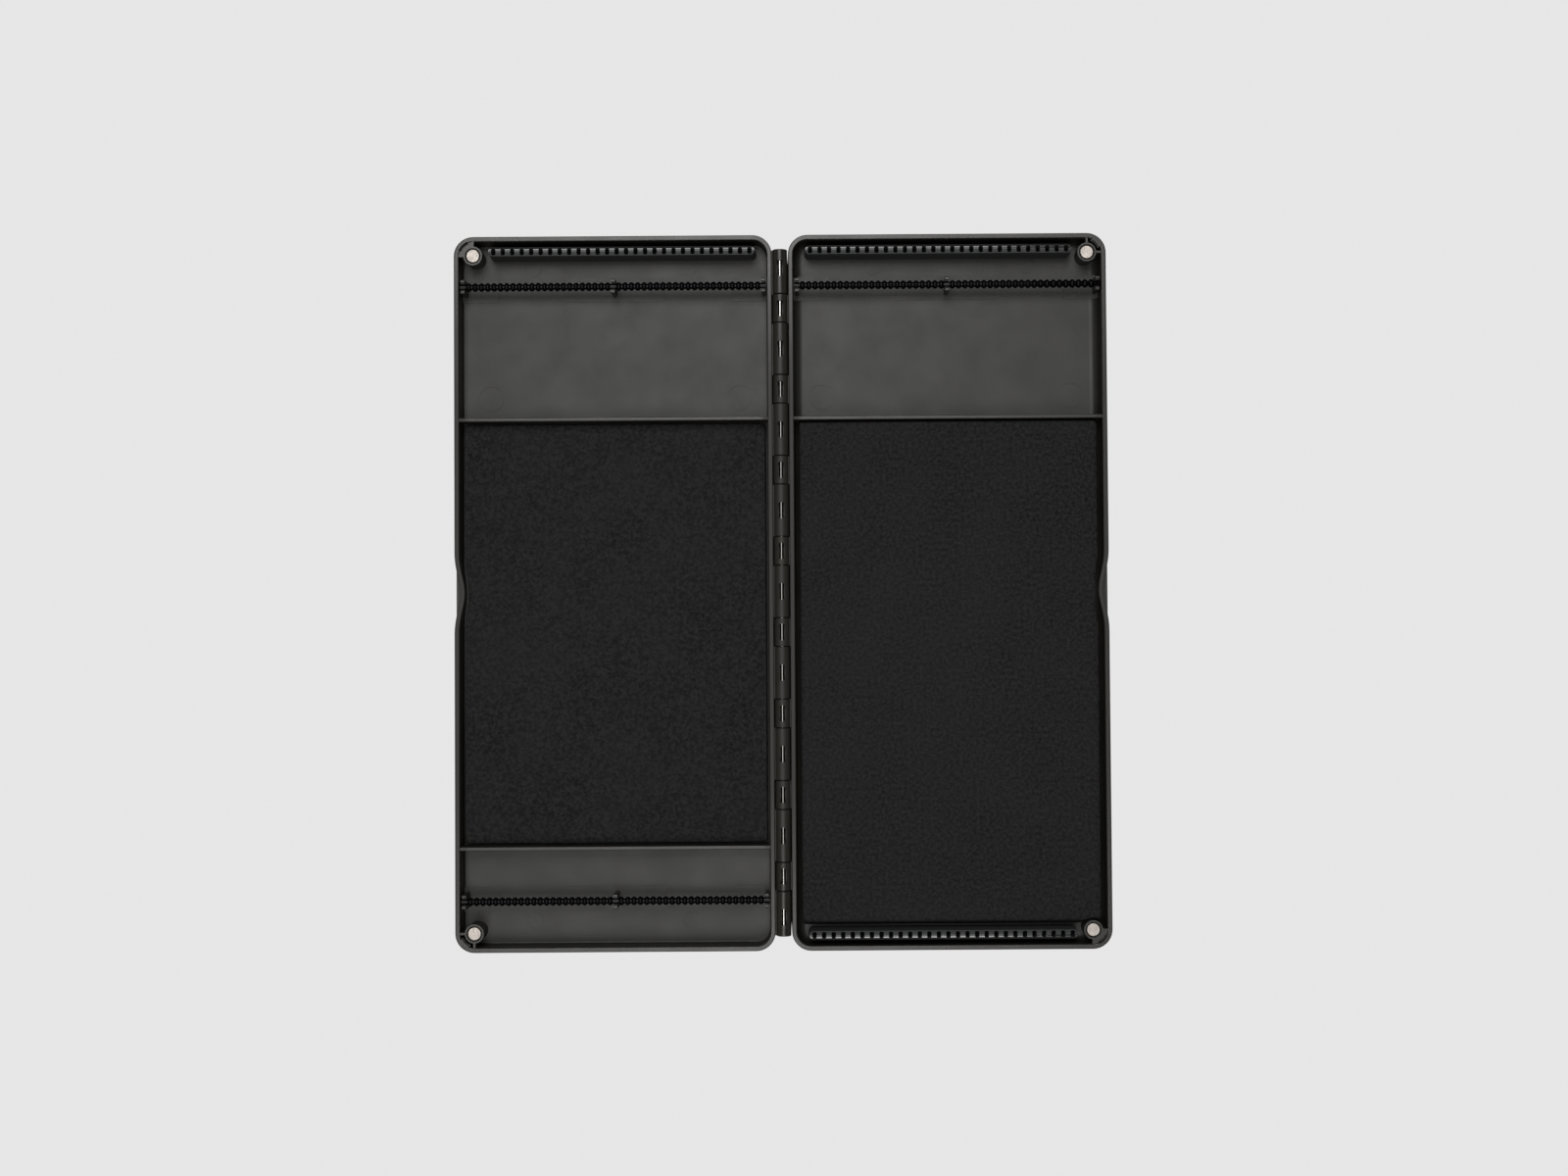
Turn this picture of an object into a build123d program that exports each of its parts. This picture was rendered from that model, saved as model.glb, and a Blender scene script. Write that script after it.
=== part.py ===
import os

from build123d import *

os.makedirs("parts", exist_ok=True)

# The box lies open and flat. X runs across the hinge, Y along it and Z up.
# The origin is under the hinge, on the surface that both trays rest on.
left = -1
right = 1
top = 1
bottom = -1

# Each tray
tray_width = 156.0
tray_length = 350.0
tray_height = 16.0
wall = 2.4
floor = 2.0
corner_radius = 9.5
base_edge_radius = 3.0
rim_edge_radius = 0.5
left_cove = 0.8
right_cove = 4.4
overcut = 1.0

# Hinge between the two trays
hinge_gap = 8.0
closing_gap = 0.2
knuckle_diameter = 7.2
window_pitch = 19.8
short_knuckle = 14.0
end_knuckle_reach = 9.1
hinge_end_margin = 7.5
knuckle_clearance = 0.35
knuckle_end_chamfer = 0.25
pin_diameter = 2.0
pin_clearance = 0.05
pin_end_clearance = 0.5
pin_end_chamfer = 0.3
bore_end_wall = 1.2
window_length = 8.2
window_width = 3.2
window_drop = 1.2
window_web = 0.6
arm_root = 0.6
arm_drop = 1.2

# Magnets and the bosses that hold them
magnet_diameter = 6.2
magnet_thickness = 3.0
magnet_clearance = 0.05
magnet_recess = 0.3
magnet_edge_radius = 0.2
boss_inset = 9.3
boss_diameter = 9.2
boss_drop = 0.2
boss_chamfer = 0.7
boss_rib = 1.0

# Curved tongues that drop into curved slots when the box is shut
locator_radius = 6.7
locator_slot_width = 1.3
locator_slot_depth = 3.0
locator_clearance = 0.15
locator_angle = 50.0
locator_end_clearance = 2.0
locator_height = 1.2
locator_fill_drop = 0.8
locator_foot_width = 1.8

# Dividers
divider_thickness = 1.8
divider_drop = 0.3
divider_edge_radius = 0.4
upper_divider_from_top = 90.0
lower_divider_from_bottom = 50.4

# Thumb notches in the middle of the outer walls
notch_length = 40.0
notch_depth_at_rim = 2.9
notch_depth_at_base = 1.2
notch_height = 6.5

# Rings in the floors
mark_depth = 0.25
mark_line_width = 0.5
large_mark_diameter = 12.6
large_mark_from_side = 16.3
large_mark_from_top = 78.7
small_mark_diameter = 8.2
small_mark_from_end = 14.0
small_mark_from_outer_side = 37.5
small_mark_from_hinge_side = 41.8

# Beaded hook bars
bar_from_end = 24.5
bar_drop = 3.0
bead_diameter = 4.3
bead_width = 2.5
bead_pitch = 3.1
bar_core_diameter = 2.7
bar_neck_diameter = 3.4
bead_clear_of_clip = 1.2
bar_end_clearance = 0.5

# Clips that carry the bars
clip_from_side = 4.2
clip_depth = 1.8
clip_arm = 1.8
clip_bore_clearance = 0.05
clip_lip_gap = 3.0
clip_lip_height = 1.7
clip_tip_drop = 0.4
clip_tip_radius = 0.7
clip_plate_width = 11.8
clip_plate_thickness = 0.4
centre_plate_length = 48.5
end_plate_length = 17.6
seat_clearance = 0.1

# Slotted combs
comb_width = 4.3
comb_from_end = 7.4
comb_from_hinge_side = 8.4
comb_from_outer_side = 16.8
comb_drop = 0.3
comb_foot_spread = 0.6
comb_slot_width = 2.2
comb_slot_pitch = 4.66
comb_slot_depth = 9.0
comb_slot_length = 3.3
comb_slot_corner = 0.9
comb_rail = 0.4
comb_edge_radius = 0.15
comb_trough_depth = 0.8
comb_trough_radius = 6.0
comb_trough_offset = 0.45
comb_end_land = 2.2

# Foam pads and the film that holds them down
film_thickness = 0.3
film_inset = 5.0
left_foam_thickness = 5.3
left_foam_side_gap = 1.0
left_foam_end_gap = 0.5
right_foam_thickness = 10.7
right_foam_side_gap = 2.4
right_foam_top_gap = 0.6
right_foam_from_bottom = 13.5
foam_corner_radius = 1.5
foam_edge_radius = 0.6
foam_clearance = 0.3

# Places worked out from the sizes
tray_centre = (hinge_gap + tray_width) / 2
axis_height = tray_height + closing_gap / 2
knuckle_radius = knuckle_diameter / 2
pin_radius = pin_diameter / 2
bore_radius = pin_radius + pin_clearance
knuckle_low = axis_height - knuckle_radius
arm_height = tray_height - arm_drop - knuckle_low
knuckle_count = 2 * int((tray_length - 2 * hinge_end_margin) / (2 * window_pitch)) + 1
first_window = -(knuckle_count - 1) * window_pitch / 2
hinge_end = -first_window + end_knuckle_reach
boss_top = tray_height - boss_drop
notch_ledge = tray_height - notch_height
bar_height = tray_height - bar_drop
bar_half_span = tray_width / 2 - clip_from_side
upper_divider_y = tray_length / 2 - upper_divider_from_top
lower_divider_y = -tray_length / 2 + lower_divider_from_bottom


def end_y(end, inset):
    return end * (tray_length / 2 - inset)


def outer_x(side, inset):
    return side * (hinge_gap / 2 + tray_width - inset)


def knuckle_span(index):
    """Lowest and highest Y of one knuckle, before its running gap."""
    window_y = first_window + index * window_pitch
    half = short_knuckle / 2 if index % 2 else window_pitch - short_knuckle / 2
    low = -hinge_end if index == 0 else window_y - half
    high = hinge_end if index == knuckle_count - 1 else window_y + half
    return low, high


def knuckle_run(index):
    """The same two ends with the running gap taken off."""
    low, high = knuckle_span(index)
    if index > 0:
        low += knuckle_clearance / 2
    if index < knuckle_count - 1:
        high -= knuckle_clearance / 2
    return low, high


def tray_body(side):
    """The tray's outside, before it is hollowed."""
    with BuildPart() as body:
        with BuildSketch(Plane.XY):
            with Locations((side * tray_centre, 0)):
                RectangleRounded(tray_width, tray_length, corner_radius)
        extrude(amount=tray_height)
        fillet(body.faces().sort_by(Axis.Z)[0].edges(), base_edge_radius)
    return body.part


def tray_hollow(side, cove, clearance=0.0, lift=0.0):
    """The space inside the walls, with the cove that joins them to the floor."""
    inset = wall + clearance
    with BuildPart() as hollow:
        with BuildSketch(Plane.XY.offset(floor + lift)):
            with Locations((side * tray_centre, 0)):
                RectangleRounded(tray_width - 2 * inset, tray_length - 2 * inset, corner_radius - inset)
        extrude(amount=tray_height - floor + overcut)
        fillet(hollow.faces().sort_by(Axis.Z)[0].edges(), cove)
    return hollow.part


def notch_wave(side, inset, back, base=0.0, extra=0.0):
    """A shallow wave along one long wall, which grows deeper towards the rim."""
    face_x = outer_x(side, inset)
    half = notch_length / 2 + extra
    base_depth = notch_depth_at_base + (notch_depth_at_rim - notch_depth_at_base) * base / tray_height
    with BuildPart() as wave:
        for height, depth in ((base, base_depth), (tray_height, notch_depth_at_rim)):
            with BuildSketch(Plane.XY.offset(height)):
                with BuildLine():
                    Spline(
                        (face_x - side * extra, -half),
                        (face_x - side * (depth + extra), 0),
                        (face_x - side * extra, half),
                        tangents=[(0, 1), (0, 1)],
                    )
                    Polyline(
                        (face_x - side * extra, half),
                        (face_x + side * back, half),
                        (face_x + side * back, -half),
                        (face_x - side * extra, -half),
                    )
                make_face()
        loft(ruled=True)
    return wave.part


def corner_fill(side, end):
    """The filled corner behind a boss, which the curved slot is cut into."""
    fill_size = boss_inset - wall / 2
    with BuildPart() as fill:
        with BuildSketch(Plane.XY.offset(floor / 2)):
            with Locations((side * tray_centre, 0)):
                RectangleRounded(tray_width - wall, tray_length - wall, corner_radius - wall / 2)
            with Locations(
                (outer_x(side, boss_inset - fill_size / 2), end_y(end, boss_inset - fill_size / 2)),
            ):
                Rectangle(fill_size, fill_size, mode=Mode.INTERSECT)
        extrude(amount=tray_height - locator_fill_drop - floor / 2)
    return fill.part


def magnet_boss(side, end):
    """Magnet boss with the two ribs that tie it to the walls."""
    boss_x = outer_x(side, boss_inset)
    boss_y = end_y(end, boss_inset)
    fill_size = boss_inset - wall / 2
    with BuildPart() as block:
        with BuildSketch(Plane.XY.offset(floor / 2)):
            with Locations((boss_x, boss_y)):
                Circle(boss_diameter / 2)
            with Locations((boss_x + side * fill_size / 2, boss_y)):
                Rectangle(fill_size, boss_rib)
            with Locations((boss_x, boss_y + end * fill_size / 2)):
                Rectangle(boss_rib, fill_size)
        extrude(amount=boss_top - floor / 2)
    return block.part


def magnet_pocket(side, end):
    with BuildPart() as pocket:
        with BuildSketch(Plane.XY.offset(boss_top - magnet_recess - magnet_thickness)):
            with Locations((outer_x(side, boss_inset), end_y(end, boss_inset))):
                Circle(magnet_diameter / 2 + magnet_clearance)
        extrude(amount=magnet_thickness + magnet_recess + overcut)
        with BuildSketch(Plane.XY.offset(boss_top)):
            with Locations((outer_x(side, boss_inset), end_y(end, boss_inset))):
                Circle(magnet_diameter / 2 + magnet_clearance + boss_chamfer)
        extrude(amount=-boss_chamfer, taper=45)
    return pocket.part


def locator_arc(side, end, base, height, width, angle):
    """Part of a ring about the magnet, on the diagonal of the corner."""
    diagonal = {(1, 1): 45, (-1, 1): 135, (-1, -1): 225, (1, -1): 315}[(side, end)]
    with BuildPart() as arc:
        with BuildSketch(Plane.XY.offset(base)):
            with BuildLine():
                CenterArc(
                    (outer_x(side, boss_inset), end_y(end, boss_inset)),
                    locator_radius,
                    diagonal - angle / 2,
                    angle,
                )
            trace(line_width=width)
        extrude(amount=height)
    return arc.part


def barrel(low, high):
    with BuildPart() as piece:
        with BuildSketch(Plane.XZ.offset(-high)):
            with Locations((0, axis_height)):
                Circle(knuckle_radius)
        extrude(amount=high - low)
        chamfer(piece.edges().filter_by(GeomType.CIRCLE), knuckle_end_chamfer)
    return piece.part


def knuckle_row(side):
    """The knuckles that belong to one tray, with their arms, bore and windows."""
    arm_length = hinge_gap / 2 + arm_root
    owned = range(0, knuckle_count, 2) if side == left else range(1, knuckle_count, 2)
    barrels = [barrel(*knuckle_run(index)) for index in owned]
    with BuildPart() as row:
        add(barrels)
        for index in owned:
            low, high = knuckle_run(index)
            with BuildSketch(Plane.XZ.offset(-high)):
                with Locations((side * arm_length / 2, knuckle_low + arm_height / 2)):
                    Rectangle(arm_length, arm_height)
            extrude(amount=high - low)
        with BuildSketch(Plane.XZ.offset(bore_end_wall - hinge_end)):
            with Locations((0, axis_height)):
                Circle(bore_radius)
        extrude(amount=2 * hinge_end, mode=Mode.SUBTRACT)
        with BuildSketch(Plane.XY.offset(axis_height - window_drop)):
            for index in owned:
                with Locations((0, first_window + index * window_pitch)):
                    SlotOverall(window_length, window_width, rotation=90)
        extrude(amount=knuckle_diameter, mode=Mode.SUBTRACT)
        with BuildSketch(Plane.XY.offset(axis_height)):
            for index in owned:
                low, high = knuckle_span(index)
                window_y = first_window + index * window_pitch
                reach = window_length / 2 + window_web
                for start, stop in ((low - overcut, window_y - reach), (window_y + reach, high + overcut)):
                    if index == 0 and start < low or index == knuckle_count - 1 and stop > high:
                        continue
                    with Locations((0, (start + stop) / 2)):
                        Rectangle(2 * bore_radius, stop - start)
        extrude(amount=-knuckle_diameter, mode=Mode.SUBTRACT)
    return row.part


def clip_seats(side, end):
    """Flat places for the plates of the two end clips of one bar."""
    near_hinge = side * (hinge_gap / 2 + wall + end_plate_length / 2)
    near_outer = outer_x(side, wall + end_plate_length / 2)
    with BuildPart() as seats:
        with BuildSketch(Plane.XY.offset(floor)):
            with Locations((near_hinge, end_y(end, bar_from_end)), (near_outer, end_y(end, bar_from_end))):
                Rectangle(end_plate_length, clip_plate_width + 2 * seat_clearance)
        extrude(amount=right_cove)
    return seats.part


def comb_centre(side):
    return side * (tray_centre + (comb_from_hinge_side - comb_from_outer_side) / 2)


def comb_footprint(side, end, height, spread, amount):
    """Round-ended strip, wider at its foot than at its top on the side of the compartment."""
    length = tray_width - comb_from_hinge_side - comb_from_outer_side
    with BuildPart() as strip:
        with BuildSketch(Plane.XY.offset(height)):
            with Locations((comb_centre(side), end_y(end, comb_from_end))):
                SlotOverall(length + 2 * spread, comb_width + 2 * spread)
        extrude(amount=amount)
    return strip.part


def floor_marks(side, end, small_only):
    """Fine rings that the mould's pins leave in the floor."""
    small_places = [
        (outer_x(side, small_mark_from_outer_side), end_y(end, small_mark_from_end)),
        (side * (hinge_gap / 2 + small_mark_from_hinge_side), end_y(end, small_mark_from_end)),
    ]
    large_places = [
        (outer_x(side, large_mark_from_side), end_y(top, large_mark_from_top)),
        (side * (hinge_gap / 2 + large_mark_from_side), end_y(top, large_mark_from_top)),
    ]
    with BuildPart() as marks:
        with BuildSketch(Plane.XY.offset(floor - mark_depth)):
            with Locations(*small_places):
                Circle(small_mark_diameter / 2)
                Circle(small_mark_diameter / 2 - mark_line_width, mode=Mode.SUBTRACT)
            if not small_only:
                with Locations(*large_places):
                    Circle(large_mark_diameter / 2)
                    Circle(large_mark_diameter / 2 - mark_line_width, mode=Mode.SUBTRACT)
        extrude(amount=mark_depth + overcut)
    return marks.part


def divider(side, divider_y):
    with BuildPart() as rib:
        with BuildSketch(Plane.XY.offset(floor / 2)):
            with Locations((side * tray_centre, divider_y)):
                Rectangle(tray_width - wall, divider_thickness)
        extrude(amount=tray_height - divider_drop - floor / 2)
        fillet(rib.faces().sort_by(Axis.Z)[-1].edges().filter_by(Axis.X), divider_edge_radius)
    return rib.part


# Solids that the two trays are made from
left_body = tray_body(left)
left_hollow = tray_hollow(left, left_cove)
left_wave_in = notch_wave(left, wall, wall / 2)
left_wave_out = notch_wave(left, 0, overcut, notch_ledge)
left_knuckles = knuckle_row(left)
left_dividers = [divider(left, upper_divider_y), divider(left, lower_divider_y)]
left_blocks = [magnet_boss(left, top), magnet_boss(left, bottom), corner_fill(left, top)]
left_pockets = [magnet_pocket(left, top), magnet_pocket(left, bottom)]
slot_base = tray_height - locator_slot_depth
slot_rise = locator_slot_depth + overcut
left_slot = locator_arc(left, top, slot_base, slot_rise, locator_slot_width, locator_angle)
tongue_base = tray_height - locator_fill_drop - overcut
tongue_rise = locator_height + locator_fill_drop + overcut
tongue_width = locator_slot_width - 2 * locator_clearance
tongue_angle = locator_angle - 2 * locator_end_clearance
foot_rise = tray_height - locator_fill_drop - floor / 2
left_tongue = locator_arc(left, bottom, tongue_base, tongue_rise, tongue_width, tongue_angle)
left_tongue_foot = locator_arc(left, bottom, floor / 2, foot_rise, locator_foot_width, locator_angle)
left_seats = [
    clip_seats(left, top),
    clip_seats(left, bottom),
    comb_footprint(left, top, floor, comb_foot_spread + seat_clearance, right_cove),
]
left_marks = [floor_marks(left, top, False), floor_marks(left, bottom, True)]

with BuildPart() as left_tray:
    add(left_body)
    add(left_hollow, mode=Mode.SUBTRACT)
    add(left_wave_in)
    add(left_wave_out, mode=Mode.SUBTRACT)
    fillet(left_tray.edges().group_by(Axis.Z)[-1], rim_edge_radius)
    add(left_seats, mode=Mode.SUBTRACT)
    add(left_blocks)
    add(left_dividers)
    add(left_pockets, mode=Mode.SUBTRACT)
    add(left_slot, mode=Mode.SUBTRACT)
    add(left_tongue_foot)
    add(left_tongue)
    add(left_marks, mode=Mode.SUBTRACT)
    add(left_knuckles)
left_tray.part.label = "left_tray"
export_step(left_tray.part, "parts/left_tray.step")

right_body = tray_body(right)
right_hollow = tray_hollow(right, right_cove)
right_wave_in = notch_wave(right, wall, wall / 2)
right_wave_out = notch_wave(right, 0, overcut, notch_ledge)
right_knuckles = knuckle_row(right)
right_divider = divider(right, upper_divider_y)
right_blocks = [magnet_boss(right, top), magnet_boss(right, bottom), corner_fill(right, bottom)]
right_pockets = [magnet_pocket(right, top), magnet_pocket(right, bottom)]
right_slot = locator_arc(right, bottom, slot_base, slot_rise, locator_slot_width, locator_angle)
right_tongue = locator_arc(right, top, tongue_base, tongue_rise, tongue_width, tongue_angle)
right_tongue_foot = locator_arc(right, top, floor / 2, foot_rise, locator_foot_width, locator_angle)
right_seats = [
    clip_seats(right, top),
    comb_footprint(right, top, floor, comb_foot_spread + seat_clearance, right_cove),
    comb_footprint(right, bottom, floor, comb_foot_spread + seat_clearance, right_cove),
]
right_marks = floor_marks(right, top, False)

with BuildPart() as right_tray:
    add(right_body)
    add(right_hollow, mode=Mode.SUBTRACT)
    add(right_wave_in)
    add(right_wave_out, mode=Mode.SUBTRACT)
    fillet(right_tray.edges().group_by(Axis.Z)[-1], rim_edge_radius)
    add(right_seats, mode=Mode.SUBTRACT)
    add(right_blocks)
    add(right_divider)
    add(right_pockets, mode=Mode.SUBTRACT)
    add(right_slot, mode=Mode.SUBTRACT)
    add(right_tongue_foot)
    add(right_tongue)
    add(right_marks, mode=Mode.SUBTRACT)
    add(right_knuckles)
right_tray.part.label = "right_tray"
export_step(right_tray.part, "parts/right_tray.step")

# Steel pin through every knuckle
with BuildPart() as hinge_pin:
    with BuildSketch(Plane.XZ.offset(bore_end_wall - hinge_end)):
        with Locations((0, axis_height)):
            Circle(pin_radius)
    extrude(amount=2 * hinge_end - bore_end_wall - pin_end_clearance)
    chamfer(hinge_pin.faces().filter_by(Axis.Y).edges(), pin_end_chamfer)
hinge_pin.part.label = "hinge_pin"
export_step(hinge_pin.part, "parts/hinge_pin.step")

# Magnets, one in each outer corner
for side, side_name in ((left, "left"), (right, "right")):
    for end, end_name in ((top, "top"), (bottom, "bottom")):
        with BuildPart() as magnet:
            with BuildSketch(Plane.XY.offset(boss_top - magnet_recess - magnet_thickness)):
                with Locations((outer_x(side, boss_inset), end_y(end, boss_inset))):
                    Circle(magnet_diameter / 2)
            extrude(amount=magnet_thickness)
            fillet(magnet.edges(), magnet_edge_radius)
        magnet.part.label = f"{side_name}_{end_name}_magnet"
        export_step(magnet.part, f"parts/{side_name}_{end_name}_magnet.step")

# Beaded bars that the hooks hang on, and the clips under them
bars = ((left, top, "left_top"), (left, bottom, "left_bottom"), (right, top, "right_top"))
bead_count = int((bar_half_span - 2 * bead_clear_of_clip) / bead_pitch)
bead_run = 2 * bead_clear_of_clip + bead_count * bead_pitch
bar_half_length = tray_width / 2 - wall - bar_end_clearance
neck_start = bar_half_span - clip_depth / 2
core_radius = bar_core_diameter / 2
neck_radius = bar_neck_diameter / 2
bead_radius = bead_diameter / 2
for side, end, place in bars:
    bar_plane = Plane(
        origin=(side * tray_centre, end_y(end, bar_from_end), bar_height),
        x_dir=(1, 0, 0),
        z_dir=(0, -1, 0),
    )
    with BuildPart() as bar:
        with BuildSketch(bar_plane):
            with BuildLine():
                Line((-bar_half_length, 0), (-bar_half_length, neck_radius))
                Line((-bar_half_length, neck_radius), (-neck_start, neck_radius))
                cursor = (-neck_start, neck_radius)
                for half in (-1, 1):
                    if half > 0:
                        Line(cursor, (-clip_depth / 2, core_radius))
                        Line((-clip_depth / 2, core_radius), (-clip_depth / 2, neck_radius))
                        Line((-clip_depth / 2, neck_radius), (clip_depth / 2, neck_radius))
                        cursor = (clip_depth / 2, neck_radius)
                    for step in range(bead_count):
                        offset = bead_clear_of_clip + (step + 0.5) * bead_pitch
                        bead_x = offset if half > 0 else offset - bead_run
                        start = (bead_x - bead_width / 2, core_radius)
                        stop = (bead_x + bead_width / 2, core_radius)
                        if step == 0:
                            Line(cursor, (cursor[0], core_radius))
                            cursor = (cursor[0], core_radius)
                        Line(cursor, start)
                        ThreePointArc(start, (bead_x, bead_radius), stop)
                        cursor = stop
                Line(cursor, (neck_start, core_radius))
                Line((neck_start, core_radius), (neck_start, neck_radius))
                Line((neck_start, neck_radius), (bar_half_length, neck_radius))
                Line((bar_half_length, neck_radius), (bar_half_length, 0))
                Line((bar_half_length, 0), (-bar_half_length, 0))
            make_face()
        revolve(axis=Axis(bar_plane.origin, (1, 0, 0)))
    bar.part.label = f"{place}_bar"
    export_step(bar.part, f"parts/{place}_bar.step")

    hinge_sign = -side
    clips = (
        ("hinge_side", hinge_sign * bar_half_span, end_plate_length, hinge_sign),
        ("centre", 0, centre_plate_length, 0),
        ("outer", -hinge_sign * bar_half_span, end_plate_length, -hinge_sign),
    )
    for clip_name, clip_offset, plate_length, toward_wall in clips:
        clip_x = side * tray_centre + clip_offset
        wall_face = side * tray_centre + toward_wall * (tray_width / 2 - wall)
        plate_x = clip_x if toward_wall == 0 else wall_face - toward_wall * plate_length / 2
        clip_width = bar_neck_diameter + 2 * clip_bore_clearance + 2 * clip_arm
        clip_top = tray_height - clip_tip_drop
        lip_top = bar_height + clip_lip_height
        bar_y = end_y(end, bar_from_end)
        with BuildPart() as clip:
            with BuildSketch(Plane.XY.offset(floor)):
                with Locations((plate_x, bar_y)):
                    Rectangle(plate_length, clip_plate_width)
            extrude(amount=clip_plate_thickness)
            with BuildSketch(Plane.YZ.offset(clip_x - clip_depth / 2)):
                with Locations((bar_y, (floor + clip_top) / 2)):
                    Rectangle(clip_width, clip_top - floor)
                with Locations((bar_y, bar_height)):
                    Circle(neck_radius + clip_bore_clearance, mode=Mode.SUBTRACT)
                with Locations((bar_y, (bar_height + clip_top + overcut) / 2)):
                    Rectangle(clip_lip_gap, clip_top + overcut - bar_height, mode=Mode.SUBTRACT)
                with Locations((bar_y, (lip_top + clip_top + overcut) / 2)):
                    Rectangle(clip_width - 2 * clip_arm, clip_top + overcut - lip_top, mode=Mode.SUBTRACT)
            extrude(amount=clip_depth)
            fillet(clip.faces().sort_by(Axis.Z)[-2:].edges().filter_by(Axis.X), clip_tip_radius)
        clip.part.label = f"{place}_{clip_name}_clip"
        export_step(clip.part, f"parts/{place}_{clip_name}_clip.step")

# Slotted combs along the ends of the trays
comb_length = tray_width - comb_from_hinge_side - comb_from_outer_side
comb_top = tray_height - comb_drop
slot_count = int((comb_length - 2 * comb_end_land) / comb_slot_pitch) + 1
for side, end, place in ((left, top, "left_top"), (right, top, "right_top"), (right, bottom, "right_bottom")):
    comb_x = comb_centre(side)
    comb_y = end_y(end, comb_from_end)
    trough_y = end_y(end, comb_from_end + comb_trough_offset)
    with BuildPart() as trough:
        with BuildSketch(Plane.XY.offset(comb_top - comb_trough_depth)):
            with Locations((comb_x, comb_y)):
                SlotOverall(comb_length - 2 * comb_rail, comb_width - 2 * comb_rail)
        extrude(amount=comb_trough_depth + overcut)
        with Locations((comb_x, trough_y, comb_top - comb_trough_depth + comb_trough_radius)):
            Cylinder(comb_trough_radius, comb_length, rotation=(0, 90, 0), mode=Mode.INTERSECT)

    with BuildPart() as comb:
        with BuildSketch(Plane.XY.offset(floor)):
            with Locations((comb_x, comb_y)):
                SlotOverall(comb_length + 2 * comb_foot_spread, comb_width + 2 * comb_foot_spread)
        with BuildSketch(Plane.XY.offset(comb_top)):
            with Locations((comb_x, comb_y)):
                SlotOverall(comb_length, comb_width)
        loft(ruled=True)
        fillet(comb.faces().sort_by(Axis.Z)[-1].edges(), comb_edge_radius)
        add(trough.part, mode=Mode.SUBTRACT)
        with BuildSketch(Plane.XY.offset(comb_top)):
            with Locations((comb_x, comb_y)):
                with GridLocations(comb_slot_pitch, 0, slot_count, 1):
                    RectangleRounded(comb_slot_width, comb_slot_length, comb_slot_corner)
        extrude(amount=-comb_slot_depth, mode=Mode.SUBTRACT)
    comb.part.label = f"{place}_comb"
    export_step(comb.part, f"parts/{place}_comb.step")

# Foam pads, with the film that holds each to its floor
left_foam_low = lower_divider_y + divider_thickness / 2 + left_foam_end_gap
left_foam_high = upper_divider_y - divider_thickness / 2 - left_foam_end_gap
right_foam_low = -tray_length / 2 + right_foam_from_bottom
right_foam_high = upper_divider_y - divider_thickness / 2 - right_foam_top_gap
pads = (
    (left, "left", left_foam_thickness, left_foam_side_gap, left_foam_low, left_foam_high, left_cove),
    (right, "right", right_foam_thickness, right_foam_side_gap, right_foam_low, right_foam_high, right_cove),
)
for side, side_name, thickness, side_gap, low, high, cove in pads:
    pad_width = tray_width - 2 * wall - 2 * side_gap
    relief = notch_wave(side, wall, overcut + side_gap, extra=foam_clearance)
    room = tray_hollow(side, cove, foam_clearance, film_thickness)
    with BuildPart() as foam_pad:
        with BuildSketch(Plane.XY.offset(floor + film_thickness)):
            with Locations((side * tray_centre, (low + high) / 2)):
                RectangleRounded(pad_width, high - low, foam_corner_radius)
        extrude(amount=thickness)
        fillet(foam_pad.faces().sort_by(Axis.Z)[-1].edges(), foam_edge_radius)
        add(room, mode=Mode.INTERSECT)
        add(relief, mode=Mode.SUBTRACT)
        with Locations((outer_x(side, boss_inset), end_y(bottom, boss_inset))):
            Cylinder(boss_diameter / 2 + foam_clearance, 2 * tray_height, mode=Mode.SUBTRACT)
    foam_pad.part.label = f"{side_name}_foam_pad"
    export_step(foam_pad.part, f"parts/{side_name}_foam_pad.step")

    with BuildPart() as film:
        with BuildSketch(Plane.XY.offset(floor)):
            with Locations((side * tray_centre, (low + high) / 2)):
                RectangleRounded(pad_width - 2 * film_inset, high - low - 2 * film_inset, foam_corner_radius)
        extrude(amount=film_thickness)
    film.part.label = f"{side_name}_adhesive_film"
    export_step(film.part, f"parts/{side_name}_adhesive_film.step")
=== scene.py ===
import math

import bpy
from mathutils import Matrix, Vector, noise


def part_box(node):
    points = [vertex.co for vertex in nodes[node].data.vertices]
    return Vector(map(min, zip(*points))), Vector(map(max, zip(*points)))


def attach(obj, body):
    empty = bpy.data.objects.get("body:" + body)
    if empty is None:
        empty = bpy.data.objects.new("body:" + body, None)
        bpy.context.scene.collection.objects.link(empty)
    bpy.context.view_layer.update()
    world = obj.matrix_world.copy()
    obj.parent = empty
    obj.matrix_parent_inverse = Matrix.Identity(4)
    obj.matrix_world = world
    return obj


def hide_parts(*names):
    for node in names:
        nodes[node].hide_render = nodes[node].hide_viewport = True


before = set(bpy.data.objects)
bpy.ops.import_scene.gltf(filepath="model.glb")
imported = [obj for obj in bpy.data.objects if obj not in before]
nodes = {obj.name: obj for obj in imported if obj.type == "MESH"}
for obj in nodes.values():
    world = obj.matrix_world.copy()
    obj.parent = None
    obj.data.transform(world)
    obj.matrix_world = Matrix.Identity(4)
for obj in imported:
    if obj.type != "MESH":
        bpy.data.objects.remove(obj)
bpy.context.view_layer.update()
mm = 0.001
noiseLow, noiseHigh = 0.3, 0.7  # most of a noise texture lies between these
print("frame loaded:", len(nodes), "CAD nodes")


def hexColor(code):  # sRGB hex to the linear values that Blender mixes
    channels = [int(code[i:i + 2], 16) / 255 for i in (1, 3, 5)]
    linear = [c / 12.92 if c <= 0.04045 else ((c + 0.055) / 1.055) ** 2.4 for c in channels]
    return (*linear, 1.0)


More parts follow.
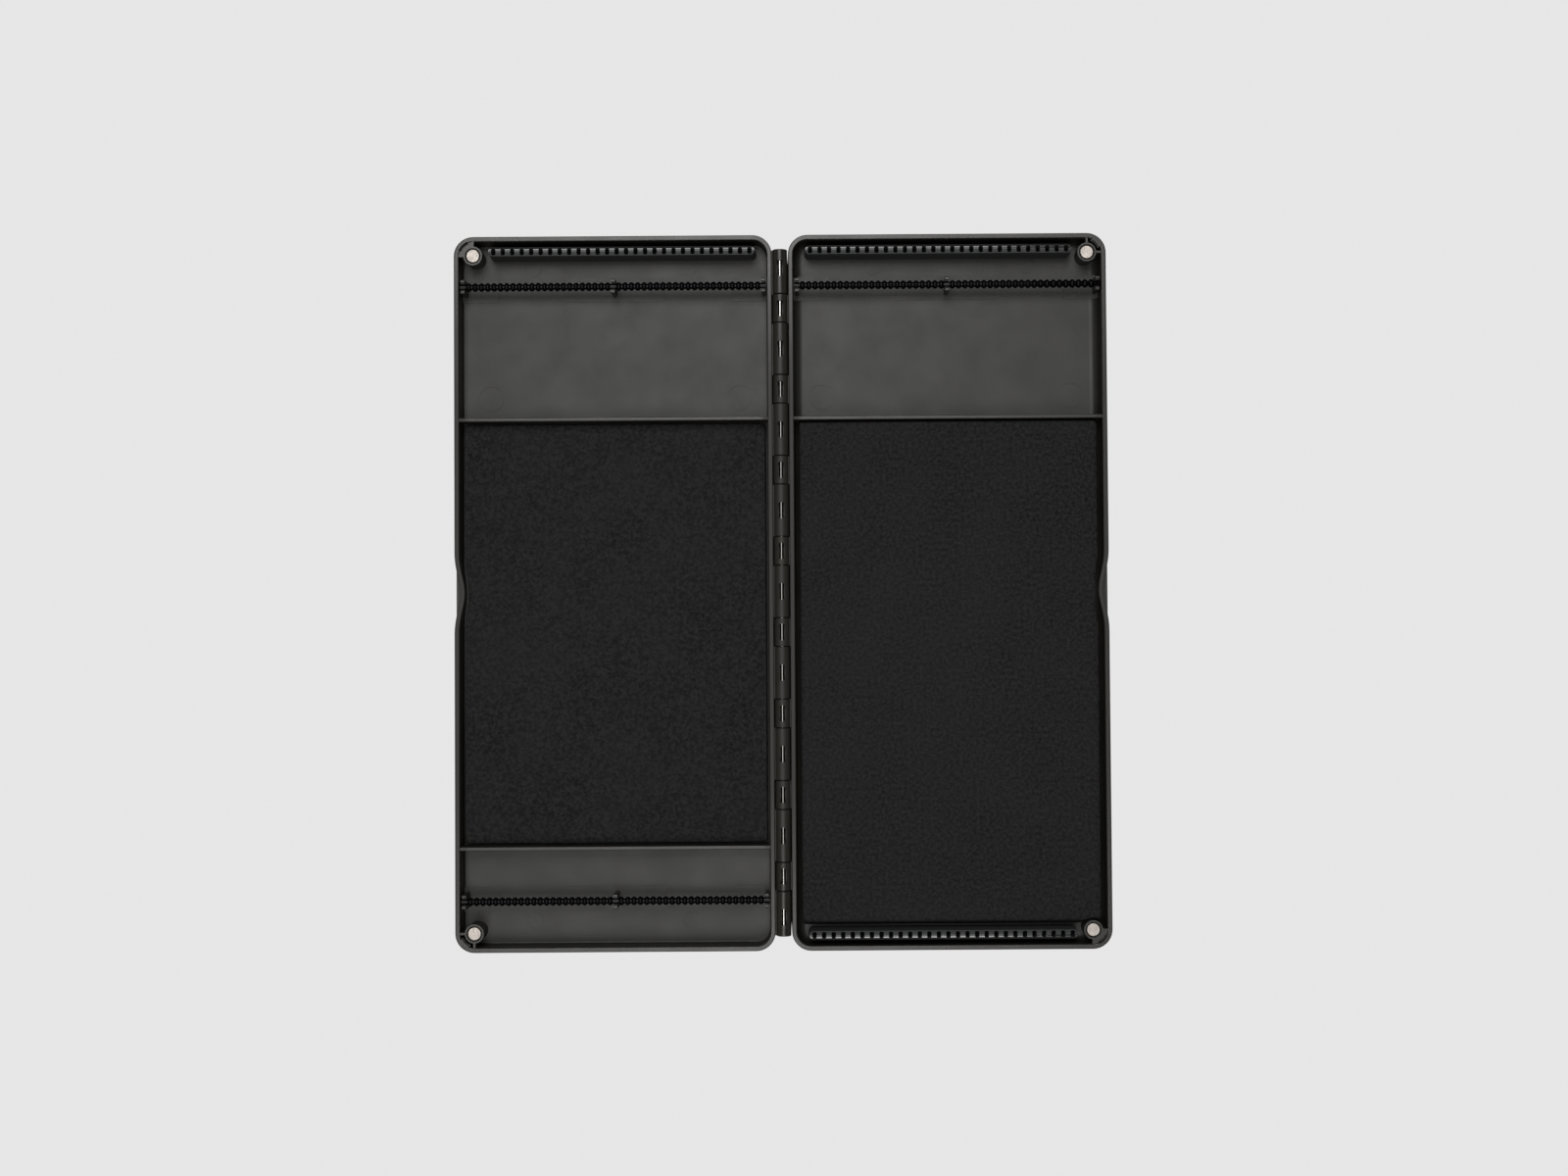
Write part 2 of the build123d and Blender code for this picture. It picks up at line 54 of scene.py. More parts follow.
def addNode(owner, kind, inputs=None, **settings):
    # An input takes a value, another node's socket, or a node, which gives its first output.
    # A Mix of colours has its factor and colours at inputs 0, 6 and 7 and its result at output 2,
    # a mix of numbers at inputs 0, 2 and 3 and output 0
    tree = owner.node_tree
    node = tree.nodes.new(kind)
    for name, value in settings.items():
        setattr(node, name, value)
    for name, value in (inputs or {}).items():
        if isinstance(value, bpy.types.Node):
            value = value.outputs[0]
        if isinstance(value, bpy.types.NodeSocket):
            tree.links.new(value, node.inputs[name])
        else:
            node.inputs[name].default_value = value
    return node


def startMaterial(name):
    material = bpy.data.materials.new(name)
    material.use_nodes = True
    material.node_tree.nodes.clear()
    return material, addNode(material, "ShaderNodeTexCoord").outputs["Object"]


def finishMaterial(material, inputs):
    shader = addNode(material, "ShaderNodeBsdfPrincipled", inputs)
    addNode(material, "ShaderNodeOutputMaterial", {"Surface": shader})
    return material


# Sizes are the width of one blotch or grain as drawn. What stands above rubbedAbove counts as rubbed
# smoother, and is painted a lighter, warmer tone, partly its olive tint and partly a painted highlight.
# The long rims, by the hinge and along the outer walls, stay satin in the middle of their length
trayFinish = {
    "color": "#161613", "cloudColor": "#1f1e18", "cloudSize": 24 * mm, "cloudDetail": 3.0,
    "sheenSize": 17 * mm, "sheenDetail": 4.0, "roughLow": 0.46, "roughHigh": 0.53,
    "grainSize": 0.9 * mm, "grainDetail": 3.0, "grainDepth": 0.035 * mm, "noiseRoughness": 0.6,
    "ior": 1.49, "specular": 0.45,
    "rubbedAbove": 15.2 * mm, "rubbedFade": 0.3 * mm, "rimTintAndHighlightColor": "#1b1913",
    "rubbedLow": 0.3, "rubbedHigh": 0.37,
    "hingeRimWithin": 9 * mm, "outerRimBeyond": 154 * mm, "rimFade": 1 * mm,
    "satinWithin": 95 * mm, "satinEnds": 165 * mm, "satinRoughness": 0.58,
}


def mouldedPolypropylene(name, finish):
    # Injection moulded polypropylene from a spark-eroded tool: satin, with faint clouds where it flowed.
    # Rims, dividers and prong tips are rubbed smoother by the other half. What stands above rubbedAbove is
    # also painted lighter and warmer, partly its olive tint and partly a painted highlight
    material, place = startMaterial(name)
    clouds = addNode(material, "ShaderNodeTexNoise", {
        "Vector": place, "Scale": 1 / finish["cloudSize"], "Detail": finish["cloudDetail"],
    })
    sheen = addNode(material, "ShaderNodeTexNoise", {
        "Vector": place, "Scale": 1 / finish["sheenSize"], "Detail": finish["sheenDetail"],
        "Roughness": finish["noiseRoughness"],
    })
    # The spark texture is about 0.1 mm; it is drawn nine times as coarse so that it shows
    grain = addNode(material, "ShaderNodeTexNoise", {
        "Vector": place, "Scale": 1 / finish["grainSize"], "Detail": finish["grainDetail"],
        "Roughness": finish["noiseRoughness"],
    })
    parts = addNode(material, "ShaderNodeSeparateXYZ", {"Vector": place}).outputs
    rubbed = addNode(material, "ShaderNodeMapRange", {
        "Value": parts["Z"], "From Min": finish["rubbedAbove"] - finish["rubbedFade"],
        "From Max": finish["rubbedAbove"],
    })

    # Where the long rims stay satin
    sideways = addNode(material, "ShaderNodeMath", {0: parts["X"]}, operation="ABSOLUTE")
    along = addNode(material, "ShaderNodeMath", {0: parts["Y"]}, operation="ABSOLUTE")
    hingeRim = addNode(material, "ShaderNodeMapRange", {
        "Value": sideways, "From Min": finish["hingeRimWithin"] - finish["rimFade"],
        "From Max": finish["hingeRimWithin"] + finish["rimFade"], "To Min": 1.0, "To Max": 0.0,
    })
    outerRim = addNode(material, "ShaderNodeMapRange", {
        "Value": sideways, "From Min": finish["outerRimBeyond"] - finish["rimFade"],
        "From Max": finish["outerRimBeyond"] + finish["rimFade"],
    })
    longRims = addNode(material, "ShaderNodeMath", {0: hingeRim, 1: outerRim}, operation="MAXIMUM")
    middle = addNode(material, "ShaderNodeMapRange", {
        "Value": along, "From Min": finish["satinWithin"], "From Max": finish["satinEnds"],
        "To Min": 1.0, "To Max": 0.0,
    })
    satin = addNode(material, "ShaderNodeMath", {0: longRims, 1: middle}, operation="MULTIPLY")

    cloudiness = addNode(material, "ShaderNodeMapRange", {
        "Value": clouds, "From Min": noiseLow, "From Max": noiseHigh,
    })
    moulded = addNode(material, "ShaderNodeMix", {
        0: cloudiness, 6: hexColor(finish["color"]), 7: hexColor(finish["cloudColor"]),
    }, data_type="RGBA").outputs[2]
    # Partly painted highlight: everything above rubbedAbove turns lighter and warmer, partly the olive tint
    # of the rims, knuckle tops and prong tips
    color = addNode(material, "ShaderNodeMix", {
        0: rubbed, 6: moulded, 7: hexColor(finish["rimTintAndHighlightColor"]),
    }, data_type="RGBA").outputs[2]
    mouldedRoughness = addNode(material, "ShaderNodeMapRange", {
        "Value": sheen, "From Min": noiseLow, "From Max": noiseHigh,
        "To Min": finish["roughLow"], "To Max": finish["roughHigh"],
    })
    rubbedRoughness = addNode(material, "ShaderNodeMapRange", {
        "Value": sheen, "From Min": noiseLow, "From Max": noiseHigh,
        "To Min": finish["rubbedLow"], "To Max": finish["rubbedHigh"],
    })
    rimRoughness = addNode(material, "ShaderNodeMix", {
        0: satin, 2: rubbedRoughness, 3: finish["satinRoughness"],
    })
    roughness = addNode(material, "ShaderNodeMix", {0: rubbed, 2: mouldedRoughness, 3: rimRoughness})
    bump = addNode(material, "ShaderNodeBump", {"Height": grain, "Distance": finish["grainDepth"]})
    return finishMaterial(material, {
        "Base Color": color, "Roughness": roughness, "Normal": bump,
        "IOR": finish["ior"], "Specular IOR Level": finish["specular"],
    })


# pitInner and pitOuter are where a pit's edge starts and ends, in pit radii; the pits are painted dark spots
# of shade. sideBelow and topAbove are the heights of the surface normal between which the painted shade on
# the sides gives way to the top
foamFinish = {
    "color": "#080808", "paleColor": "#232323", "sideShadeColor": "#020202", "pitShadeColor": "#050505",
    "cellSize": 1.3 * mm, "cellDepth": 0.30 * mm, "speckleSize": 1.6 * mm, "speckleDetail": 3.0,
    "speckleNoise": 0.7, "speckleLow": 0.38, "speckleHigh": 0.62,
    "patchSize": 30 * mm, "patchDetail": 3.0, "patchPaleness": 0.35,
    "pitSpacing": 46 * mm, "pitRadius": 0.7 * mm, "pitInner": 0.5, "pitOuter": 1.3,
    "sideBelow": 0.35, "topAbove": 0.8, "ior": 1.45, "roughness": 0.92, "specular": 0.3,
}


def closedCellFoam(name, finish):
    # Black EVA foam skived from a block: dry and matt, with cut cells, a few open pits painted as dark spots
    # of shade, and its sides painted darker as shade where they turn from upward
    material, place = startMaterial(name)
    patches = addNode(material, "ShaderNodeTexNoise", {
        "Vector": place, "Scale": 1 / finish["patchSize"], "Detail": finish["patchDetail"],
    })
    # Real cells are about 0.3 mm; they are drawn four times as coarse so that they show
    cells = addNode(material, "ShaderNodeTexVoronoi", {"Vector": place, "Scale": 1 / finish["cellSize"]})
    speckle = addNode(material, "ShaderNodeTexNoise", {
        "Vector": place, "Scale": 1 / finish["speckleSize"], "Detail": finish["speckleDetail"],
        "Roughness": finish["speckleNoise"],
    })
    pits = addNode(material, "ShaderNodeTexVoronoi", {"Vector": place, "Scale": 1 / finish["pitSpacing"]})
    pitEdge = finish["pitRadius"] / finish["pitSpacing"]
    outsidePit = addNode(material, "ShaderNodeMapRange", {
        "Value": pits, "From Min": pitEdge * finish["pitInner"], "From Max": pitEdge * finish["pitOuter"],
    })
    speckled = addNode(material, "ShaderNodeMapRange", {
        "Value": speckle, "From Min": finish["speckleLow"], "From Max": finish["speckleHigh"],
    })
    ground = addNode(material, "ShaderNodeMix", {
        0: speckled, 6: hexColor(finish["color"]), 7: hexColor(finish["paleColor"]),
    }, data_type="RGBA").outputs[2]
    paleness = addNode(material, "ShaderNodeMapRange", {
        "Value": patches, "From Min": noiseLow, "From Max": noiseHigh, "To Max": finish["patchPaleness"],
    })
    worn = addNode(material, "ShaderNodeMix", {
        0: paleness, 6: ground, 7: hexColor(finish["paleColor"]),
    }, data_type="RGBA").outputs[2]
    # Painted shade: each open pit is a dark spot of colour only
    pitShaded = addNode(material, "ShaderNodeMix", {
        0: outsidePit, 6: hexColor(finish["pitShadeColor"]), 7: worn,
    }, data_type="RGBA").outputs[2]
    facing = addNode(material, "ShaderNodeTexCoord").outputs["Normal"]
    upward = addNode(material, "ShaderNodeSeparateXYZ", {"Vector": facing}).outputs["Z"]
    onTop = addNode(material, "ShaderNodeMapRange", {
        "Value": upward, "From Min": finish["sideBelow"], "From Max": finish["topAbove"],
    })
    # Painted shade: faces that turn from upward take the near-black side colour
    color = addNode(material, "ShaderNodeMix", {
        0: onTop, 6: hexColor(finish["sideShadeColor"]), 7: pitShaded,
    }, data_type="RGBA").outputs[2]
    bump = addNode(material, "ShaderNodeBump", {"Height": cells, "Distance": finish["cellDepth"]})
    return finishMaterial(material, {
        "Base Color": color, "Normal": bump, "Roughness": finish["roughness"],
        "IOR": finish["ior"], "Specular IOR Level": finish["specular"],
    })


barFinish = {
    "color": "#010102", "waveSize": 2.5 * mm, "waveDetail": 3.0, "waveDepth": 0.02 * mm,
    "roughLow": 0.1, "roughHigh": 0.16, "ior": 1.48, "specular": 0.12,
}


def blackAcetal(name, finish):
    # Moulded acetal hook bar: deep black with a soft oily gloss
    material, place = startMaterial(name)
    waves = addNode(material, "ShaderNodeTexNoise", {
        "Vector": place, "Scale": 1 / finish["waveSize"], "Detail": finish["waveDetail"],
    })
    roughness = addNode(material, "ShaderNodeMapRange", {
        "Value": waves, "From Min": noiseLow, "From Max": noiseHigh,
        "To Min": finish["roughLow"], "To Max": finish["roughHigh"],
    })
    bump = addNode(material, "ShaderNodeBump", {"Height": waves, "Distance": finish["waveDepth"]})
    return finishMaterial(material, {
        "Base Color": hexColor(finish["color"]), "Roughness": roughness, "Normal": bump,
        "IOR": finish["ior"], "Specular IOR Level": finish["specular"],
    })


# rungsFrom and wallRailFrom are distances from the middle of the box along the hinge
combFinish = {
    "color": "#101214", "cloudColor": "#16181b", "paintedShadeColor": "#040404", "waveSize": 3 * mm,
    "slotsBelow": 14.8 * mm, "slotFade": 0.2 * mm, "rungsFrom": 167.7 * mm, "rungFade": 0.2 * mm,
    "wallRailFrom": 169.0 * mm, "railFade": 0.1 * mm, "ior": 1.53, "specular": 0.62,
    "roughLow": 0.08, "roughHigh": 0.14, "railRoughness": 0.7, "dullRoughness": 0.9,
}


def combNylon(name, finish):
    # Nylon comb: cool grey-black. The rungs are polished and catch the light, the rail towards the middle of
    # the box is satin, and the slots and the rail at the wall stay dull and are painted near-black as shade
    material, place = startMaterial(name)
    waves = addNode(material, "ShaderNodeTexNoise", {"Vector": place, "Scale": 1 / finish["waveSize"]})
    parts = addNode(material, "ShaderNodeSeparateXYZ", {"Vector": place}).outputs
    fromMiddle = addNode(material, "ShaderNodeMath", {0: parts["Y"]}, operation="ABSOLUTE")
    raised = addNode(material, "ShaderNodeMapRange", {
        "Value": parts["Z"], "From Min": finish["slotsBelow"] - finish["slotFade"],
        "From Max": finish["slotsBelow"],
    })
    offWallRail = addNode(material, "ShaderNodeMapRange", {
        "Value": fromMiddle, "From Min": finish["wallRailFrom"] - finish["railFade"],
        "From Max": finish["wallRailFrom"] + finish["railFade"], "To Min": 1.0, "To Max": 0.0,
    })
    outOfPaintedShade = addNode(material, "ShaderNodeMath", {0: raised, 1: offWallRail}, operation="MULTIPLY")
    onRungs = addNode(material, "ShaderNodeMapRange", {
        "Value": fromMiddle, "From Min": finish["rungsFrom"] - finish["rungFade"],
        "From Max": finish["rungsFrom"] + finish["rungFade"],
    })
    cloudiness = addNode(material, "ShaderNodeMapRange", {
        "Value": waves, "From Min": noiseLow, "From Max": noiseHigh,
    })
    clouded = addNode(material, "ShaderNodeMix", {
        0: cloudiness, 6: hexColor(finish["color"]), 7: hexColor(finish["cloudColor"]),
    }, data_type="RGBA").outputs[2]
    # Painted shade: the slots and the rail by the wall are coloured near-black
    color = addNode(material, "ShaderNodeMix", {
        0: outOfPaintedShade, 6: hexColor(finish["paintedShadeColor"]), 7: clouded,
    }, data_type="RGBA").outputs[2]
    polish = addNode(material, "ShaderNodeMapRange", {
        "Value": waves, "From Min": noiseLow, "From Max": noiseHigh,
        "To Min": finish["roughLow"], "To Max": finish["roughHigh"],
    })
    handledRoughness = addNode(material, "ShaderNodeMix", {0: onRungs, 2: finish["railRoughness"], 3: polish})
    roughness = addNode(material, "ShaderNodeMix", {
        0: outOfPaintedShade, 2: finish["dullRoughness"], 3: handledRoughness,
    })
    return finishMaterial(material, {
        "Base Color": color, "Roughness": roughness,
        "IOR": finish["ior"], "Specular IOR Level": finish["specular"],
    })


wireFinish = {
    "color": "#a5a39e", "lineWidth": 0.25 * mm, "lineStretch": (1, 0.02, 1), "lineDetail": 3.0,
    "lineDepth": 0.003 * mm, "roughLow": 0.07, "roughHigh": 0.12,
}


def drawnSteelWire(name, finish):
    # Drawn steel wire, bright but not polished: a narrow bright line, with fine marks along its length
    material, place = startMaterial(name)
    drawn = addNode(material, "ShaderNodeMapping", {"Vector": place, "Scale": finish["lineStretch"]})
    lines = addNode(material, "ShaderNodeTexNoise", {
        "Vector": drawn, "Scale": 1 / finish["lineWidth"], "Detail": finish["lineDetail"],
    })
    roughness = addNode(material, "ShaderNodeMapRange", {
        "Value": lines, "From Min": noiseLow, "From Max": noiseHigh,
        "To Min": finish["roughLow"], "To Max": finish["roughHigh"],
    })
    bump = addNode(material, "ShaderNodeBump", {"Height": lines, "Distance": finish["lineDepth"]})
    return finishMaterial(material, {
        "Base Color": hexColor(finish["color"]), "Metallic": 1.0, "Roughness": roughness, "Normal": bump,
    })


magnetFinish = {
    "color": "#bdb6af", "scuffColor": "#a59e97", "scuffSize": 0.8 * mm, "scuffStretch": (1, 0.3, 1),
    "scuffDetail": 5.0, "scuffNoise": 0.7, "roughLow": 0.5, "roughHigh": 0.62,
}


def nickelPlate(name, finish):
    # Nickel-plated sintered magnet: warm white metal, dulled by handling
    material, place = startMaterial(name)
    stretched = addNode(material, "ShaderNodeMapping", {"Vector": place, "Scale": finish["scuffStretch"]})
    scuffs = addNode(material, "ShaderNodeTexNoise", {
        "Vector": stretched, "Scale": 1 / finish["scuffSize"], "Detail": finish["scuffDetail"],
        "Roughness": finish["scuffNoise"],
    })
    scuffing = addNode(material, "ShaderNodeMapRange", {
        "Value": scuffs, "From Min": noiseLow, "From Max": noiseHigh,
    })
    color = addNode(material, "ShaderNodeMix", {
        0: scuffing, 6: hexColor(finish["color"]), 7: hexColor(finish["scuffColor"]),
    }, data_type="RGBA").outputs[2]
    roughness = addNode(material, "ShaderNodeMapRange", {
        "Value": scuffs, "From Min": noiseLow, "From Max": noiseHigh,
        "To Min": finish["roughLow"], "To Max": finish["roughHigh"],
    })
    return finishMaterial(material, {"Base Color": color, "Metallic": 1.0, "Roughness": roughness})


filmFinish = {
    "color": "#d8d2c2", "fibreColor": "#c4bda9", "fibreSize": 1.5 * mm, "fibreStretch": (1, 0.4, 1),
    "fibreDetail": 5.0, "ior": 1.47, "roughness": 0.45,
}


def tissueFilm(name, finish):
    # Double-sided tissue tape: pale, thin and a little glossy where the glue shows
    material, place = startMaterial(name)
    stretched = addNode(material, "ShaderNodeMapping", {"Vector": place, "Scale": finish["fibreStretch"]})
    fibres = addNode(material, "ShaderNodeTexNoise", {
        "Vector": stretched, "Scale": 1 / finish["fibreSize"], "Detail": finish["fibreDetail"],
    })
    fibrous = addNode(material, "ShaderNodeMapRange", {
        "Value": fibres, "From Min": noiseLow, "From Max": noiseHigh,
    })
    color = addNode(material, "ShaderNodeMix", {
        0: fibrous, 6: hexColor(finish["color"]), 7: hexColor(finish["fibreColor"]),
    }, data_type="RGBA").outputs[2]
    return finishMaterial(material, {
        "Base Color": color, "Roughness": finish["roughness"], "IOR": finish["ior"],
    })


clipFinish = {**trayFinish, "sheenSize": 6 * mm}
trayMaterial = mouldedPolypropylene("satinPolypropylene", trayFinish)
clipMaterial = mouldedPolypropylene("clipPolypropylene", clipFinish)
foamMaterial = closedCellFoam("closedCellFoam", foamFinish)
barMaterial = blackAcetal("blackAcetal", barFinish)
combMaterial = combNylon("combNylon", combFinish)
wireMaterial = drawnSteelWire("drawnSteelWire", wireFinish)
magnetMaterial = nickelPlate("nickelPlate", magnetFinish)
filmMaterial = tissueFilm("tissueFilm", filmFinish)

finishes = (
    ("_tray", trayMaterial), ("_clip", clipMaterial), ("_bar", barMaterial), ("_comb", combMaterial),
    ("_pin", wireMaterial), ("_magnet", magnetMaterial), ("_film", filmMaterial), ("_pad", foamMaterial),
)
for nodeName, nodeObject in nodes.items():
    material = next(m for ending, m in finishes if nodeName.endswith(ending))
    nodeObject.data.materials.clear()
    nodeObject.data.materials.append(material)
print("finishes given to the CAD nodes")


# drift gives each pad its own stretch of the noise, and slant is how far the foot of its end leans out
# towards the comb
foamPads = {
    "leftFoam": {
        "node": "left_foam_pad", "magnet": "left_bottom_magnet", "body": "left_half", "slot": "foam",
        "outerSide": -1, "cornerRadius": 1.5 * mm, "edgeRadius": 0.9 * mm, "voxel": 1.2 * mm,
        "drift": (5.1, 2.7, 0), "slant": 0.0,
    },
    "rightFoam": {
        "node": "right_foam_pad", "magnet": "right_bottom_magnet", "body": "right_half", "slot": "foam",
        "outerSide": 1, "cornerRadius": 1.5 * mm, "edgeRadius": 0.9 * mm, "voxel": 1.2 * mm,
        "drift": (13.6, 7.2, 0), "slant": 2.8 * mm,
    },
}
foamSurface = {
    "inset": 0.15 * mm, "rollDepth": 0.16 * mm, "rollSize": 24 * mm, "rippleDepth": 0.05 * mm,
    "rippleSize": 3.5 * mm, "notchHalf": 20.4 * mm, "notchDepth": 2.2 * mm, "slantReach": 12 * mm,
    "bossClear": 5.0 * mm, "scoopReach": 10.0 * mm, "cornerSegments": 4, "edgeSegments": 3,
    "smoothAngle": 50, "nearEnough": 1e-6,
}


def deselectAll():
    bpy.ops.object.select_all(action="DESELECT")


def selectEdges(piece, test):
    bpy.ops.mesh.select_all(action="DESELECT")
    bpy.ops.object.mode_set(mode="OBJECT")
    points = piece.data.vertices
    for edge in piece.data.edges:
        a, b = (points[i].co for i in edge.vertices)
        edge.select = test(a, b)
    bpy.ops.object.mode_set(mode="EDIT")


def makeFoamPad(name, pad, surface):
    low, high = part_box(pad["node"])
    low = low + Vector((surface["inset"],) * 3)
    high = high - Vector((surface["inset"],) * 3)
    near = surface["nearEnough"]
    deselectAll()
    bpy.ops.mesh.primitive_cube_add(size=1, location=(low + high) / 2, scale=high - low)
    piece = bpy.context.object
    piece.name = name
    bpy.ops.object.transform_apply(location=True, rotation=True, scale=True)
    bpy.ops.object.mode_set(mode="EDIT")
    bpy.ops.mesh.select_mode(type="EDGE")
    selectEdges(piece, lambda a, b: abs(a.x - b.x) < near and abs(a.y - b.y) < near)
    bpy.ops.mesh.bevel(offset=pad["cornerRadius"], segments=surface["cornerSegments"])
    selectEdges(piece, lambda a, b: min(a.z, b.z) > high.z - near)
    bpy.ops.mesh.bevel(offset=pad["edgeRadius"], segments=surface["edgeSegments"])
    bpy.ops.object.mode_set(mode="OBJECT")
    remesh = piece.modifiers.new("evenSkin", "REMESH")
    remesh.mode = "VOXEL"
    remesh.voxel_size = pad["voxel"]
    bpy.ops.object.modifier_apply(modifier=remesh.name)
    shapeFoamSkin(piece, pad, surface, low, high)
    bpy.ops.object.shade_smooth_by_angle(angle=math.radians(surface["smoothAngle"]))
    piece.data.materials.clear()
    piece.data.materials.append(foamMaterial)
    return piece


def shapeFoamSkin(piece, pad, surface, low, high):
    # The cut face rolls and ripples a little, and gives way to the thumb notch in the wall.
    # The end beside the right comb is cut on a slant, so no floor shows there: the slanted foot, dark with
    # the sides' painted shade, stands in for the shade in the deep gap by the comb. It is scooped round the
    # magnet's boss
    drift = Vector(pad["drift"])
    outerX = high.x if pad["outerSide"] > 0 else low.x
    magnetLow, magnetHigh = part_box(pad["magnet"])
    boss = (magnetLow + magnetHigh) / 2
    scoopTop = boss.y + surface["scoopReach"]
    for vertex in piece.data.vertices:
        place = vertex.co
        topness = max(0.0, (place.z - low.z) / (high.z - low.z))
        roll = noise.noise(place / surface["rollSize"] + drift) * surface["rollDepth"]
        ripple = noise.noise(place / surface["rippleSize"] + drift) * surface["rippleDepth"]
        place.z -= topness * (abs(roll) + abs(ripple))
        # The slanted foot is dark with the sides' painted shade and stands in for the shade beside the comb
        lean = pad["slant"] * (1 - topness)
        place.y -= lean * max(0.0, 1 - (place.y - low.y) / surface["slantReach"])
        beside = abs(place.x - boss.x) / surface["bossClear"]
        if beside < 1 and place.y < scoopTop:
            end = low.y - lean
            scoop = boss.y + surface["bossClear"] * math.sqrt(1 - beside * beside)
            if scoop > end:
                place.y = scoopTop - (scoopTop - place.y) * (scoopTop - scoop) / (scoopTop - end)
        reach = abs(place.y) / surface["notchHalf"]
        if reach < 1:
            wave = surface["notchDepth"] * (0.5 + 0.5 * math.cos(math.pi * reach))
            limit = outerX - pad["outerSide"] * wave
            place.x = min(place.x, limit) if pad["outerSide"] > 0 else max(place.x, limit)


for padName, pad in foamPads.items():
    foamPiece = makeFoamPad(padName, pad, foamSurface)
    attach(foamPiece, pad["body"])
    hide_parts(pad["node"])
    print("foam pad made:", padName, len(foamPiece.data.polygons), "faces")


studioTable = {
    "size": 6.0, "drop": 0.2 * mm, "color": "#e6e6e6", "offColor": "#0a0a0a", "roughness": 0.95,
    "shadowHalfWidth": 5 * mm, "shadowSideFade": 14 * mm,
    "shadowHalfLength": 163 * mm, "shadowEndFade": 5 * mm,
}


def glowingTop(name, settings):
    # A pale table lit evenly from within, with a soft shadow under the hinge that keeps its gaps black.
    # Its back is clear, so the underside of the box can be looked at
    material, place = startMaterial(name)
    parts = addNode(material, "ShaderNodeSeparateXYZ", {"Vector": place}).outputs
    sideways = addNode(material, "ShaderNodeMath", {0: parts["X"]}, operation="ABSOLUTE")
    along = addNode(material, "ShaderNodeMath", {0: parts["Y"]}, operation="ABSOLUTE")
    besideShadow = addNode(material, "ShaderNodeMapRange", {
        "Value": sideways, "From Min": settings["shadowHalfWidth"],
        "From Max": settings["shadowHalfWidth"] + settings["shadowSideFade"],
    })
    beyondShadow = addNode(material, "ShaderNodeMapRange", {
        "Value": along, "From Min": settings["shadowHalfLength"],
        "From Max": settings["shadowHalfLength"] + settings["shadowEndFade"],
    })
    glow = addNode(material, "ShaderNodeMath", {0: besideShadow, 1: beyondShadow}, operation="MAXIMUM")
    front = addNode(material, "ShaderNodeBsdfPrincipled", {
        "Base Color": hexColor(settings["offColor"]), "Roughness": settings["roughness"],
        "Specular IOR Level": 0.0, "Emission Color": hexColor(settings["color"]), "Emission Strength": glow,
    })
    back = addNode(material, "ShaderNodeBsdfTransparent")
    fromBelow = addNode(material, "ShaderNodeNewGeometry").outputs["Backfacing"]
    oneSided = addNode(material, "ShaderNodeMixShader", {0: fromBelow, 1: front, 2: back})
    addNode(material, "ShaderNodeOutputMaterial", {"Surface": oneSided})
    return material


def makeTable(settings):
    deselectAll()
    bpy.ops.mesh.primitive_plane_add(size=settings["size"], location=(0, 0, -settings["drop"]))
    table = bpy.context.object
    table.name = "lightTable"
    table.data.materials.append(glowingTop("lightTable", settings))


# fadeTo is the sine of the height above the horizon where the fill has faded to its overhead strength
backdrop = {
    "color": "#e6e6e6", "fillColor": "#ffffff", "fillOverhead": 0.04, "fillAtHorizon": 0.45, "fadeTo": 0.65,
}


def makeBackdrop(settings):
    # The lens sees a backdrop as pale as the table, while the box gets only a dim fill from it, which is
    # stronger near the horizon so that the walls show in low views
    world = bpy.data.worlds.new("studioWorld")
    world.use_nodes = True
    world.node_tree.nodes.clear()
    direction = addNode(world, "ShaderNodeTexCoord").outputs["Generated"]
    lift = addNode(world, "ShaderNodeSeparateXYZ", {"Vector": direction}).outputs["Z"]
    strength = addNode(world, "ShaderNodeMapRange", {
        "Value": lift, "From Max": settings["fadeTo"],
        "To Min": settings["fillAtHorizon"], "To Max": settings["fillOverhead"],
    })
    fill = addNode(world, "ShaderNodeBackground", {
        "Color": hexColor(settings["fillColor"]), "Strength": strength,
    })
    seenColor = addNode(world, "ShaderNodeBackground", {"Color": hexColor(settings["color"])})
    seen = addNode(world, "ShaderNodeLightPath").outputs["Is Camera Ray"]
    mixed = addNode(world, "ShaderNodeMixShader", {0: seen, 1: fill, 2: seenColor})
    addNode(world, "ShaderNodeOutputWorld", {"Surface": mixed})
    bpy.context.scene.world = world


